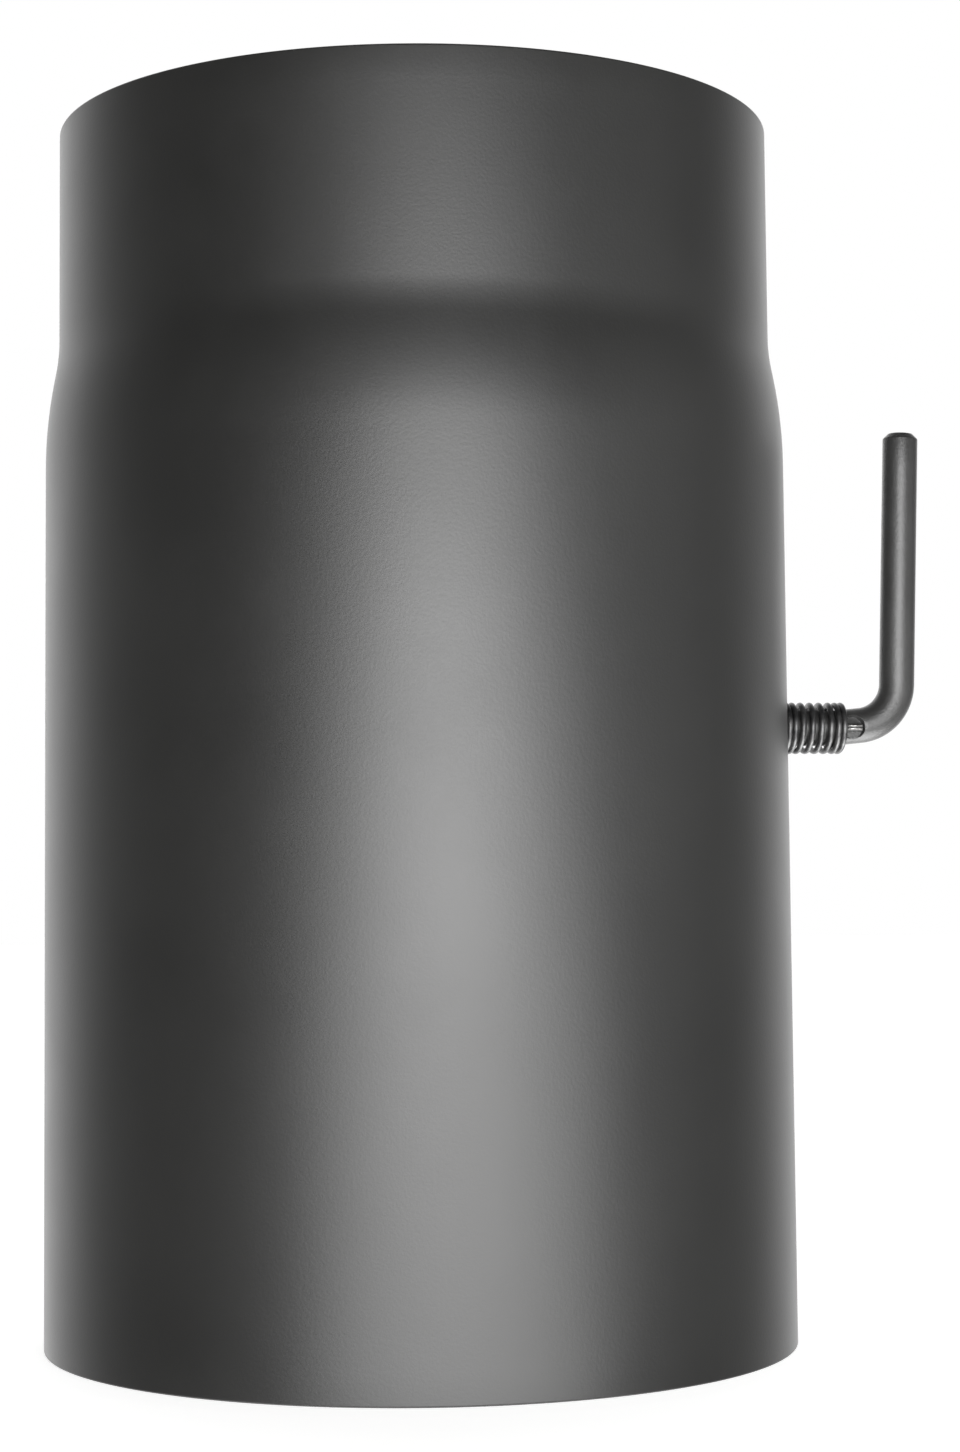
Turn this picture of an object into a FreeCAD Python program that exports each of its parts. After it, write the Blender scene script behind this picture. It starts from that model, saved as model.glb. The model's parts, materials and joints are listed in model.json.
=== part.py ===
# Stove pipe damper for a 150 mm flue: a necked steel pipe with a turning plate, a bent bar handle and a friction spring.
# Millimetres, +Z up along the pipe, +X along the bar towards the handle, origin at the middle of the bottom mouth.
import FreeCAD, Part
import math
import os

V = FreeCAD.Vector

# Pipe, rolled from flat sheet and drawn in at the top
pipe_outside_d = 154.0
pipe_wall = 2.0
pipe_length = 250.0
neck_outside_d = 148.5
neck_length = 47.0
taper_length = 14.5
shoulder_round = 14.0
neck_round = 6.0
rim_break = 0.4

# Bar that is spindle and handle in one
bar_d = 7.5
bar_height = 126.0
hole_clearance = 0.10
far_end_inset = 0.3
far_end_chamfer = 0.6
rise_lead = 3.9
rise_angle = 5.5
rise_run = 6.4
bend_radius = 9.25
bend_angle = 88.0
handle_rise = 63.8
tip_chamfer = 1.15

# Ears pinched out of the bar, front and back, that hold the spring
ear_reach = 4.95
ear_crest = 0.8
ear_root = 1.7
ear_half_length = 1.6
ear_bury = 0.3
ear_gap = 0.06
pinch_radius = 2.45
pinch_depth = 1.35

# Friction spring between the pipe's wall and the ears
wire_d = 1.25
coil_mean_d = 9.8
closed_pitch = 1.27
open_pitch = 2.03
first_front = 0.12
turns_to_rest = 8.0
tail_turns = 0.3
open_from = 2.12
open_to = 6.20
easing_turns = 0.84
spring_seat_gap = 0.05
runs_per_turn = 16
wire_sides = 9

# Damper plate with a saddle pressed across it for the bar
plate_play = 1.5
plate_edge_gap = 0.3
plate_sheet = 2.0
saddle_clearance = 0.05
saddle_foot_radius = 1.0
draught_cut = 26.0

# Rivets through saddle and bar
rivet_d = 4.0
rivet_hole_clearance = 0.05
rivet_half_spacing = 42.0
rivet_head_d = 7.0
rivet_head_sink = 1.5
rivet_rise = 1.7
rivet_crown_d = 4.0
rivet_seat_gap = 0.02

pipe_r = pipe_outside_d / 2
bore_r = pipe_r - pipe_wall
neck_r = neck_outside_d / 2
bar_r = bar_d / 2
wire_r = wire_d / 2
plate_r = bore_r - plate_play
half_sheet = plate_sheet / 2
axis_x = V(1, 0, 0)
axis_y = V(0, 1, 0)
axis_z = V(0, 0, 1)
pivot = V(0, 0, bar_height)


def cylinder(radius, length, base, direction):
    """A solid round of the given radius, from base along direction."""
    return Part.makeCylinder(radius, length, base, direction)


def rounded_path(corners, radii):
    """Lines through the corners in the XZ plane, with a tangent arc of the given radius at each inner corner."""
    edges = []
    last = corners[0]
    for before, corner, after, radius in zip(corners, corners[1:], corners[2:], radii):
        back = (before - corner).normalize()
        ahead = (after - corner).normalize()
        half = back.getAngle(ahead) / 2
        reach = radius / math.tan(half)
        centre = corner + (back + ahead).normalize() * (radius / math.sin(half))
        start = corner + back * reach
        end = corner + ahead * reach
        middle = centre + (corner - centre).normalize() * radius
        edges.append(Part.LineSegment(last, start).toShape())
        edges.append(Part.Arc(start, middle, end).toShape())
        last = end
    edges.append(Part.LineSegment(last, corners[-1]).toShape())
    return edges


def make_pipe():
    """The tube, its drawn-in neck and the two holes the bar runs in."""
    neck_foot = pipe_length - neck_length
    shoulder = neck_foot - taper_length
    taper_angle = math.atan2(pipe_r - neck_r, taper_length)
    drop = pipe_wall * math.tan(taper_angle / 2)
    outer = rounded_path(
        [V(pipe_r, 0, rim_break), V(pipe_r, 0, shoulder), V(neck_r, 0, neck_foot), V(neck_r, 0, pipe_length - rim_break)],
        [shoulder_round, neck_round],
    )
    inside_neck_r = neck_r - pipe_wall
    inner = rounded_path(
        [V(bore_r, 0, rim_break), V(bore_r, 0, shoulder - drop), V(inside_neck_r, 0, neck_foot - drop),
         V(inside_neck_r, 0, pipe_length - rim_break)],
        [shoulder_round - pipe_wall, neck_round + pipe_wall],
    )
    top_rim = Part.makePolygon([
        V(neck_r, 0, pipe_length - rim_break), V(neck_r - rim_break, 0, pipe_length),
        V(inside_neck_r + rim_break, 0, pipe_length), V(inside_neck_r, 0, pipe_length - rim_break),
    ]).Edges
    bottom_rim = Part.makePolygon([
        V(bore_r, 0, rim_break), V(bore_r + rim_break, 0, 0), V(pipe_r - rim_break, 0, 0), V(pipe_r, 0, rim_break),
    ]).Edges
    section = Part.Wire(Part.__sortEdges__(outer + top_rim + inner + bottom_rim))
    tube = Part.Face(section).revolve(V(0, 0, 0), axis_z, 360)
    hole = cylinder(bar_r + hole_clearance, 2 * pipe_outside_d, pivot - axis_x * pipe_outside_d, axis_x)
    return tube.cut(hole)


def make_ear(side, middle):
    """A thin fin squeezed out of the bar's front (side -1) or back (side 1), thick at its root."""
    root_y = side * (bar_r - pinch_depth - ear_bury)
    round_y = side * (ear_reach - ear_half_length)
    crest_y = side * ear_reach
    left = middle - ear_half_length
    right = middle + ear_half_length
    corners = [
        V(left, root_y, bar_height - ear_root / 2), V(left, root_y, bar_height + ear_root / 2),
        V(left, crest_y, bar_height + ear_crest / 2), V(left, crest_y, bar_height - ear_crest / 2),
    ]
    wedge = Part.Face(Part.makePolygon(corners + [corners[0]])).extrude(axis_x * (2 * ear_half_length))
    low = bar_height - ear_root
    arc = Part.Arc(V(left, round_y, low), V(middle, crest_y, low), V(right, round_y, low)).toShape()
    root = Part.makePolygon([
        V(right, round_y, low), V(right, root_y, low), V(left, root_y, low), V(left, round_y, low),
    ]).Edges
    plan = Part.Face(Part.Wire([arc] + root)).extrude(axis_z * (2 * ear_root))
    return wedge.common(plan)


def make_spindle(ear_middle):
    """One bar: level through both walls, rising a little from inside the spring on, then bent up into the handle."""

    def along(angle):
        return V(math.cos(angle), 0, math.sin(angle))

    def on_bend(angle):
        return bend_centre + V(math.sin(angle), 0, -math.cos(angle)) * bend_radius

    rise = math.radians(rise_angle)
    turn = math.radians(bend_angle)
    far_end = V(-(pipe_r - far_end_inset), 0, bar_height)
    shaft_start = far_end + axis_x * far_end_chamfer
    rise_start = V(ear_middle - rise_lead, 0, bar_height)
    rise_end = rise_start + along(rise) * rise_run
    bend_centre = rise_end + V(-math.sin(rise), 0, math.cos(rise)) * bend_radius
    bend_end = on_bend(turn)
    leg = along(turn)
    leg_length = (bar_height + handle_rise - bend_end.z) / leg.z
    end_cone = Part.makeCone(bar_r - far_end_chamfer, bar_r, far_end_chamfer, far_end, axis_x)
    mitred = 1
    shaft_ring = Part.Wire([Part.makeCircle(bar_r, shaft_start, axis_x)])
    shaft = Part.makePolygon([shaft_start, rise_start, rise_end]).makePipeShell([shaft_ring], True, False, mitred)
    arc = Part.Wire([Part.Arc(rise_end, on_bend((rise + turn) / 2), bend_end).toShape()])
    bend_ring = Part.Wire([Part.makeCircle(bar_r, rise_end, along(rise))])
    bend = arc.makePipeShell([bend_ring], True, True)
    tip_height = leg_length - tip_chamfer
    upright = cylinder(bar_r, tip_height, bend_end, leg)
    tip = Part.makeCone(bar_r, bar_r - tip_chamfer, tip_chamfer, bend_end + leg * tip_height, leg)
    bar = end_cone.fuse([shaft, bend, upright, tip])
    for side in (-1, 1):
        floor_y = side * (bar_r - pinch_depth)
        bar = bar.cut(cylinder(pinch_radius, bar_d, V(ear_middle, floor_y, bar_height), axis_y * side))
        bar = bar.fuse(make_ear(side, ear_middle))
    for x in rivet_places():
        bar = bar.cut(cylinder(rivet_d / 2 + rivet_hole_clearance, 2 * bar_d, V(x, -bar_d, bar_height), axis_y))
    return bar.removeSplitter()


def rivet_places():
    """Where the two rivets stand along the bar."""
    return (-rivet_half_spacing, rivet_half_spacing)


def coil_reach(turns):
    """How far out the middle of the wire is after so many turns: closed turns at both ends, open ones between."""

    def opened(past):
        if past < 0:
            return 0.0
        return past - easing_turns / 2 if past > easing_turns else past ** 2 / (2 * easing_turns)

    wider = (open_pitch - closed_pitch) * (opened(turns - open_from) - opened(turns - open_to))
    return pipe_r + spring_seat_gap + wire_r + closed_pitch * turns + wider


def spring_path():
    """Middle of the wire, starting below the bar's front at the wall, then up over the bar and outwards."""
    radius = coil_mean_d / 2
    all_turns = first_front + turns_to_rest + tail_turns
    points = []
    for i in range(int(round(all_turns * runs_per_turn)) + 1):
        turns = i / runs_per_turn
        angle = 2 * math.pi * (turns - first_front)
        points.append(V(coil_reach(turns), -radius * math.cos(angle), bar_height + radius * math.sin(angle)))
    return points


def make_spring(points):
    """Wire along the coil, in short straight runs with mitred corners and a many-sided section to keep its faces few."""
    path = Part.makePolygon(points)
    along = (points[1] - points[0]).normalize()
    out = (points[0] - V(points[0].x, 0, bar_height)).normalize()
    across = along.cross(out).normalize()
    out = across.cross(along)
    corners = []
    for i in range(wire_sides + 1):
        angle = 2 * math.pi * (i % wire_sides) / wire_sides
        corners.append(points[0] + out * (wire_r * math.cos(angle)) + across * (wire_r * math.sin(angle)))
    mitred = 1
    return path.makePipeShell([Part.makePolygon(corners)], True, False, mitred)


def saddle_side(offset, reach):
    """One face of the plate's section, offset from its middle: flat, foot, half round over the bar, foot, flat."""
    ring = bar_r + saddle_clearance + half_sheet
    foot = saddle_foot_radius + half_sheet
    foot_z = math.sqrt((ring + foot) ** 2 - foot ** 2)
    share = (ring + offset) / (ring + foot)
    lean = V(0, -foot, foot_z).normalize()
    half_way = (lean + V(0, -1, 0)).normalize() * (foot - offset)

    def at(z, y):
        return V(0, y, bar_height + z)

    left = [
        Part.LineSegment(at(-reach, offset), at(-foot_z, offset)).toShape(),
        Part.Arc(at(-foot_z, offset), at(-foot_z + half_way.z, foot + half_way.y), at(-foot_z * share, foot * share)).toShape(),
    ]
    top = Part.Arc(at(-foot_z * share, foot * share), at(0, ring + offset), at(foot_z * share, foot * share)).toShape()
    right = [
        Part.Arc(at(foot_z * share, foot * share), at(foot_z - half_way.z, foot + half_way.y), at(foot_z, offset)).toShape(),
        Part.LineSegment(at(foot_z, offset), at(reach, offset)).toShape(),
    ]
    return left + [top] + right


def make_plate():
    """A round sheet with a half-round saddle across it, cut straight on the handle's side so it never closes the flue."""
    centre_x = plate_play - plate_edge_gap
    reach = plate_r + plate_sheet
    ends = [
        Part.LineSegment(V(0, -half_sheet, bar_height + z), V(0, half_sheet, bar_height + z)).toShape()
        for z in (-reach, reach)
    ]
    edges = saddle_side(half_sheet, reach) + saddle_side(-half_sheet, reach) + ends
    section = Part.Face(Part.Wire(Part.__sortEdges__(edges)))
    section.translate(V(-pipe_r, 0, 0))
    sheet = section.extrude(axis_x * pipe_outside_d)
    disc = cylinder(plate_r, 8 * bar_d, V(centre_x, -4 * bar_d, bar_height), axis_y)
    plate = sheet.common(disc)
    cut_z = bar_height + plate_r - draught_cut
    plate = plate.cut(Part.makeBox(pipe_outside_d, bar_d, pipe_r, V(-pipe_r, -bar_r, cut_z)))
    for x in rivet_places():
        plate = plate.cut(cylinder(rivet_d / 2 + rivet_hole_clearance, 2 * bar_d, V(x, 0, bar_height), axis_y))
    return plate.removeSplitter()


def rivet_head(x, seat_r, side):
    """A low head on one side of the bar, hammered to the round of radius seat_r that it lies on."""
    foot = V(x, side * (seat_r - rivet_head_sink), bar_height)
    head = Part.makeCone(rivet_head_d / 2, rivet_crown_d / 2, rivet_head_sink + rivet_rise, foot, axis_y * side)
    return head.cut(cylinder(seat_r + rivet_seat_gap, 2 * rivet_head_d, V(x - rivet_head_d, 0, bar_height), axis_x))


def make_rivets():
    """Two rivets through saddle and bar, headed on both sides."""
    saddle_r = bar_r + saddle_clearance + plate_sheet
    solids = []
    for x in rivet_places():
        tail = bar_r + rivet_rise
        shank = cylinder(rivet_d / 2, tail + saddle_r + rivet_rise, V(x, -tail, bar_height), axis_y)
        rivet = shank.fuse([rivet_head(x, saddle_r, 1), rivet_head(x, bar_r, -1)])
        solids += rivet.removeSplitter().Solids
    return Part.makeCompound(solids)


spring_rest = coil_reach(first_front + turns_to_rest) + wire_r
ear_middle = spring_rest + ear_gap + ear_half_length

parts = {
    "flue_pipe": make_pipe(),
    "handle_spindle": make_spindle(ear_middle),
    "friction_spring": make_spring(spring_path()),
    "damper_plate": make_plate(),
    "plate_rivets": make_rivets(),
}

os.makedirs("parts", exist_ok=True)
for name, shape in parts.items():
    shape.exportStep("parts/" + name + ".step")
    box = shape.BoundBox
    print(name, "solids", len(shape.Solids), "valid", shape.isValid(), "volume", round(shape.Volume, 1),
          "x", round(box.XMin, 2), round(box.XMax, 2), "y", round(box.YMin, 2), round(box.YMax, 2),
          "z", round(box.ZMin, 2), round(box.ZMax, 2), "facets", len(shape.tessellate(0.05)[1]))
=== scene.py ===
import json
import math

import bmesh
import bpy
from mathutils import Matrix, Vector


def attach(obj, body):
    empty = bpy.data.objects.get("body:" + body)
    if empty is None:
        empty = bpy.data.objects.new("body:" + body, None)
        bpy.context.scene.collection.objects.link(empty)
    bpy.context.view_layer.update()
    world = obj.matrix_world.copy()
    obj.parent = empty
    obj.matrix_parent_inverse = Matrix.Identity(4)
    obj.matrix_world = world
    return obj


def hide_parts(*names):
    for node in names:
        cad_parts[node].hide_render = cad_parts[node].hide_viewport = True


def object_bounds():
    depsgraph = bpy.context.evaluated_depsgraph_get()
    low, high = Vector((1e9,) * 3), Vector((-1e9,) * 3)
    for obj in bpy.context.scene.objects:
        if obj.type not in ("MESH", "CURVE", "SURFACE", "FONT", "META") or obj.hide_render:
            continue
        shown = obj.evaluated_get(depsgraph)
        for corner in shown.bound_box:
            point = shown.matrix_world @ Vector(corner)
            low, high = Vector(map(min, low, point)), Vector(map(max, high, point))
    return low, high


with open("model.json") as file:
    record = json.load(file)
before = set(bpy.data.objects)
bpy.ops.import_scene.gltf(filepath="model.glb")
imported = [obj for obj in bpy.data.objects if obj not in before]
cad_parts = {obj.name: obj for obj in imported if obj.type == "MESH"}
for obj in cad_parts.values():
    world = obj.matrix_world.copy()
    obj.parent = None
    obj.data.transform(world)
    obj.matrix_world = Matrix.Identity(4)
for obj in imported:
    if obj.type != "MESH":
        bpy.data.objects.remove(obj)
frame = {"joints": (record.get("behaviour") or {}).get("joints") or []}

cadLow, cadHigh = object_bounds()  # the box of the solids, before anything is added
axle = Vector(frame["joints"][0]["pos_m"])
sharpEdge = 0.6  # radians, edges that turn more than this stay sharp
weldReach = 1e-7  # points closer than this become one
print("frame loaded, axle at", round(axle.z, 4), "m")


# small helpers for node trees

def addNode(tree, kind, **settings):
    node = tree.nodes.new(kind)
    for name, value in settings.items():
        setattr(node, name, value)
    return node


def feed(tree, socket, value):
    # a socket is linked, anything else becomes the socket's own value
    if isinstance(value, bpy.types.NodeSocket):
        tree.links.new(value, socket)
    else:
        socket.default_value = value


def reckon(tree, operation, first, second=None):
    node = addNode(tree, "ShaderNodeMath", operation=operation)
    feed(tree, node.inputs[0], first)
    if second is not None:
        feed(tree, node.inputs[1], second)
    return node.outputs[0]


def plus(tree, first, second):
    return reckon(tree, "ADD", first, second)


def minus(tree, first, second):
    return reckon(tree, "SUBTRACT", first, second)


def times(tree, first, second):
    return reckon(tree, "MULTIPLY", first, second)


def spread(tree, value, low, high, newLow, newHigh, way="SMOOTHSTEP"):
    # carries a value from one range to another, held at both ends
    node = addNode(tree, "ShaderNodeMapRange", interpolation_type=way)
    feed(tree, node.inputs["Value"], value)
    feed(tree, node.inputs["From Min"], low)
    feed(tree, node.inputs["From Max"], high)
    feed(tree, node.inputs["To Min"], newLow)
    feed(tree, node.inputs["To Max"], newHigh)
    return node.outputs["Result"]


def between(tree, share, atNone, atFull):
    # a share of 0 to 1 becomes a value between two
    return spread(tree, share, 0.0, 1.0, atNone, atFull, "LINEAR")


def startTree(name, inputs):
    tree = bpy.data.node_groups.new(name, "GeometryNodeTree")
    tree.interface.new_socket("Geometry", in_out="INPUT", socket_type="NodeSocketGeometry")
    for label, kind in inputs.items():
        tree.interface.new_socket(label, in_out="INPUT", socket_type="NodeSocket" + kind)
    tree.interface.new_socket("Geometry", in_out="OUTPUT", socket_type="NodeSocketGeometry")
    given = tree.nodes.new("NodeGroupInput").outputs
    result = tree.nodes.new("NodeGroupOutput").inputs[0]
    return tree, given, result


def endTree(tree, shape, result, finish):
    # sharp edges stay sharp, then instances become real and take their finish
    angle = addNode(tree, "GeometryNodeInputMeshEdgeAngle").outputs["Unsigned Angle"]
    soft = reckon(tree, "LESS_THAN", angle, sharpEdge)
    real = addNode(tree, "GeometryNodeRealizeInstances")
    feed(tree, real.inputs[0], shape)
    faces = addNode(tree, "GeometryNodeSetShadeSmooth", domain="FACE")
    feed(tree, faces.inputs["Geometry"], real.outputs[0])
    edges = addNode(tree, "GeometryNodeSetShadeSmooth", domain="EDGE")
    feed(tree, edges.inputs["Geometry"], faces.outputs[0])
    feed(tree, edges.inputs["Shade Smooth"], soft)
    coat = addNode(tree, "GeometryNodeSetMaterial")
    feed(tree, coat.inputs["Geometry"], edges.outputs[0])
    feed(tree, coat.inputs["Material"], finish)
    feed(tree, result, coat.outputs[0])
    return coat


def growPiece(name, tree, values, startMesh):
    piece = bpy.data.objects.new(name, startMesh)
    bpy.context.scene.collection.objects.link(piece)
    grower = piece.modifiers.new(tree.name, "NODES")
    grower.node_group = tree
    for item in tree.interface.items_tree:
        if item.in_out == "INPUT" and item.name in values:
            grower[item.identifier] = values[item.name]
    settle(piece).name = name
    return piece


def settle(piece):
    # the modifiers' result becomes the piece's own plain mesh
    graph = bpy.context.evaluated_depsgraph_get()
    plain = bpy.data.meshes.new_from_object(piece.evaluated_get(graph))
    piece.modifiers.clear()
    piece.data = plain
    return plain


def meshPiece(name, points, faces, finish):
    mesh = bpy.data.meshes.new(name)
    mesh.from_pydata(points, [], faces)
    shell = bmesh.new()
    shell.from_mesh(mesh)
    bmesh.ops.remove_doubles(shell, verts=shell.verts, dist=weldReach)
    bmesh.ops.recalc_face_normals(shell, faces=shell.faces)
    shell.to_mesh(mesh)
    shell.free()
    mesh.shade_smooth()
    mesh.set_sharp_from_angle(angle=sharpEdge)
    mesh.materials.append(finish)
    piece = bpy.data.objects.new(name, mesh)
    bpy.context.scene.collection.objects.link(piece)
    return piece


def ringFaces(rings, around):
    # quads between rings of the same number of points
    faces = []
    for row in range(rings - 1):
        here = row * around
        above = here + around
        for i in range(around):
            j = (i + 1) % around
            faces.append((here + i, here + j, above + j, above + i))
    return faces


def roundCorner(before, corner, after, radius, steps):
    # points of an arc that rounds one corner of a flat path
    back = (before - corner).normalized()
    ahead = (after - corner).normalized()
    half = back.angle(ahead) / 2
    reach = radius / math.tan(half)
    centre = corner + (back + ahead).normalized() * (radius / math.sin(half))
    first = (corner + back * reach - centre).normalized()
    last = (corner + ahead * reach - centre).normalized()
    return [centre + first.slerp(last, i / steps) * radius for i in range(steps + 1)]


def smoothStep(low, high, value):
    share = min(1.0, max(0.0, (value - low) / (high - low)))
    return share * share * (3 - 2 * share)


# shared effects of the finishes

grainLook = {
    "fineDetail": 3.0,
    "fineRough": 0.55,
    "slowDetail": 4.0,
    "slowRough": 0.6,
    "low": 0.3,  # noise from low to high fills the whole range
    "high": 0.7,
}

markLook = {
    "warpFineness": 9.0,  # times finer than the cells
    "solidShare": 0.4,  # of a mark's size, before it fades
}


def startGroup(name, inputs, outputs):
    group = bpy.data.node_groups.new(name, "ShaderNodeTree")
    for label, kind in inputs.items():
        group.interface.new_socket(label, in_out="INPUT", socket_type="NodeSocket" + kind)
    for label in outputs:
        group.interface.new_socket(label, in_out="OUTPUT", socket_type="NodeSocketFloat")
    given = group.nodes.new("NodeGroupInput").outputs
    result = group.nodes.new("NodeGroupOutput").inputs
    return group, given, result


def noise(tree, vector, scale, detail, rough):
    node = addNode(tree, "ShaderNodeTexNoise")
    feed(tree, node.inputs["Vector"], vector)
    feed(tree, node.inputs["Scale"], scale)
    feed(tree, node.inputs["Detail"], detail)
    feed(tree, node.inputs["Roughness"], rough)
    return node.outputs["Fac"]


def grainGroup(s):
    # fine grain and slow cloudiness of a sprayed or rolled surface
    group, given, result = startGroup(
        "surfaceGrain",
        {"Vector": "Vector", "Grain Scale": "Float", "Cloud Scale": "Float"},
        ["Grain", "Cloud"],
    )
    fine = noise(group, given["Vector"], given["Grain Scale"], s["fineDetail"], s["fineRough"])
    slow = noise(group, given["Vector"], given["Cloud Scale"], s["slowDetail"], s["slowRough"])
    feed(group, result["Grain"], spread(group, fine, s["low"], s["high"], 0.0, 1.0))
    feed(group, result["Cloud"], spread(group, slow, s["low"], s["high"], 0.0, 1.0))
    return group


def markGroup(s):
    # a few small marks: dust caught in the coat, or nicks in bare metal
    group, given, result = startGroup(
        "strayMarks",
        {"Vector": "Vector", "Cell Scale": "Float", "Share": "Float", "Mark Size": "Float"},
        ["Mark"],
    )
    # the marks' outlines are pulled about so that none is a neat dot
    warp = addNode(group, "ShaderNodeTexNoise")
    feed(group, warp.inputs["Vector"], given["Vector"])
    feed(group, warp.inputs["Scale"], times(group, given["Cell Scale"], s["warpFineness"]))
    pull = addNode(group, "ShaderNodeVectorMath", operation="SCALE")
    feed(group, pull.inputs[0], warp.outputs["Color"])
    feed(group, pull.inputs["Scale"], reckon(group, "DIVIDE", given["Mark Size"], given["Cell Scale"]))
    pulled = addNode(group, "ShaderNodeVectorMath", operation="ADD")
    feed(group, pulled.inputs[0], given["Vector"])
    feed(group, pulled.inputs[1], pull.outputs[0])
    cells = addNode(group, "ShaderNodeTexVoronoi", feature="F1")
    feed(group, cells.inputs["Vector"], pulled.outputs[0])
    feed(group, cells.inputs["Scale"], given["Cell Scale"])
    toss = addNode(group, "ShaderNodeSeparateColor")
    feed(group, toss.inputs["Color"], cells.outputs["Color"])
    chosen = reckon(group, "LESS_THAN", toss.outputs[0], given["Share"])
    inner = times(group, given["Mark Size"], s["solidShare"])
    spot = spread(group, cells.outputs["Distance"], inner, given["Mark Size"], 1.0, 0.0)
    feed(group, result["Mark"], times(group, spot, chosen))
    return group


surfaceGrain = grainGroup(grainLook)
strayMarks = markGroup(markLook)


def startFinish(name):
    finish = bpy.data.materials.new(name)
    finish.use_nodes = True
    tree = finish.node_tree
    shader = tree.nodes["Principled BSDF"]
    place = addNode(tree, "ShaderNodeTexCoord").outputs["Object"]
    return finish, tree, shader, place


def useGroup(tree, group, values):
    node = addNode(tree, "ShaderNodeGroup", node_tree=group)
    for label, value in values.items():
        feed(tree, node.inputs[label], value)
    return node.outputs


def useGrain(tree, place, s):
    return useGroup(tree, surfaceGrain, {
        "Vector": place, "Grain Scale": s["grainScale"], "Cloud Scale": s["cloudScale"],
    })


def useMarks(tree, place, s):
    return useGroup(tree, strayMarks, {
        "Vector": place, "Cell Scale": s["markCells"], "Share": s["markShare"], "Mark Size": s["markSize"],
    })["Mark"]


def mottle(tree, grain, grainShare):
    # one shade from the fine grain and the slow clouds
    return plus(tree, times(tree, grain["Grain"], grainShare), times(tree, grain["Cloud"], 1.0 - grainShare))


def tint(tree, share, first, second):
    node = addNode(tree, "ShaderNodeMix", data_type="RGBA")
    feed(tree, node.inputs["Factor"], share)
    for socket, value in ((node.inputs[6], first), (node.inputs[7], second)):
        feed(tree, socket, value if isinstance(value, bpy.types.NodeSocket) else (*value, 1.0))
    return node.outputs[2]


def bump(tree, shader, height, s):
    node = addNode(tree, "ShaderNodeBump")
    node.inputs["Strength"].default_value = s["bumpStrength"]
    node.inputs["Distance"].default_value = s["bumpDepth"]
    feed(tree, node.inputs["Height"], height)
    feed(tree, shader.inputs["Normal"], node.outputs["Normal"])


stovePaint = {
    "dark": (0.0104, 0.0103, 0.0098),
    "light": (0.0144, 0.0143, 0.0136),
    "dust": (0.060, 0.059, 0.056),
    "roughLow": 0.415,
    "roughHigh": 0.455,
    "gloss": 1.0,  # specular level
    "grainScale": 1700.0,
    "cloudScale": 26.0,
    "grainShare": 0.35,
    "markCells": 34.0,
    "markShare": 0.035,
    "markSize": 0.022,
    "grainHeight": 0.05,
    "markHeight": 0.4,
    "bumpStrength": 0.5,
    "bumpDepth": 0.0003,
    "seamHalf": 0.0022,  # ground weld down the back
    "seamSoft": 0.4,  # share of that over which its edge fades
    "rippleScale": 210.0,
    "rippleDetail": 2.0,
    "rippleRough": 0.5,
    "rippleReach": 0.0012,
}


def paintFinish(s):
    finish, tree, shader, place = startFinish("stovePaint")
    grain = useGrain(tree, place, s)
    dust = useMarks(tree, place, s)
    shade = mottle(tree, grain, s["grainShare"])
    coat = tint(tree, shade, s["dark"], s["light"])
    feed(tree, shader.inputs["Base Color"], tint(tree, dust, coat, s["dust"]))
    feed(tree, shader.inputs["Roughness"], between(tree, shade, s["roughLow"], s["roughHigh"]))
    shader.inputs["Specular IOR Level"].default_value = s["gloss"]
    # the ground weld shows as a faint raised stripe with a rippled edge
    where = addNode(tree, "ShaderNodeSeparateXYZ")
    feed(tree, where.inputs[0], place)
    ripple = noise(tree, place, s["rippleScale"], s["rippleDetail"], s["rippleRough"])
    off = plus(tree, reckon(tree, "ABSOLUTE", where.outputs["X"]), times(tree, ripple, s["rippleReach"]))
    solid = s["seamHalf"] * (1.0 - s["seamSoft"])
    gone = s["seamHalf"] * (1.0 + s["seamSoft"])
    behind = reckon(tree, "GREATER_THAN", where.outputs["Y"], 0.0)
    weld = times(tree, spread(tree, off, solid, gone, 1.0, 0.0), behind)
    height = plus(tree, times(tree, grain["Grain"], s["grainHeight"]), weld)
    bump(tree, shader, plus(tree, height, times(tree, dust, s["markHeight"])), s)
    return finish


innerSteel = {
    "dark": (0.060, 0.057, 0.053),
    "light": (0.165, 0.158, 0.148),
    "spray": (0.020, 0.0198, 0.0190),
    "sprayFull": 0.004,  # solid paint this far in at each mouth
    "sprayDepth": 0.022,  # how far it drifts in
    "sprayUneven": 0.010,
    "sprayRough": 0.12,
    "metalBare": 0.85,
    "roughLow": 0.42,
    "roughHigh": 0.60,
    "grainScale": 900.0,
    "cloudScale": 42.0,
    "markCells": 120.0,
    "markShare": 0.12,
    "markSize": 0.09,
    "grainHeight": 0.3,
    "bumpStrength": 0.35,
    "bumpDepth": 0.0002,
}


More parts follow.
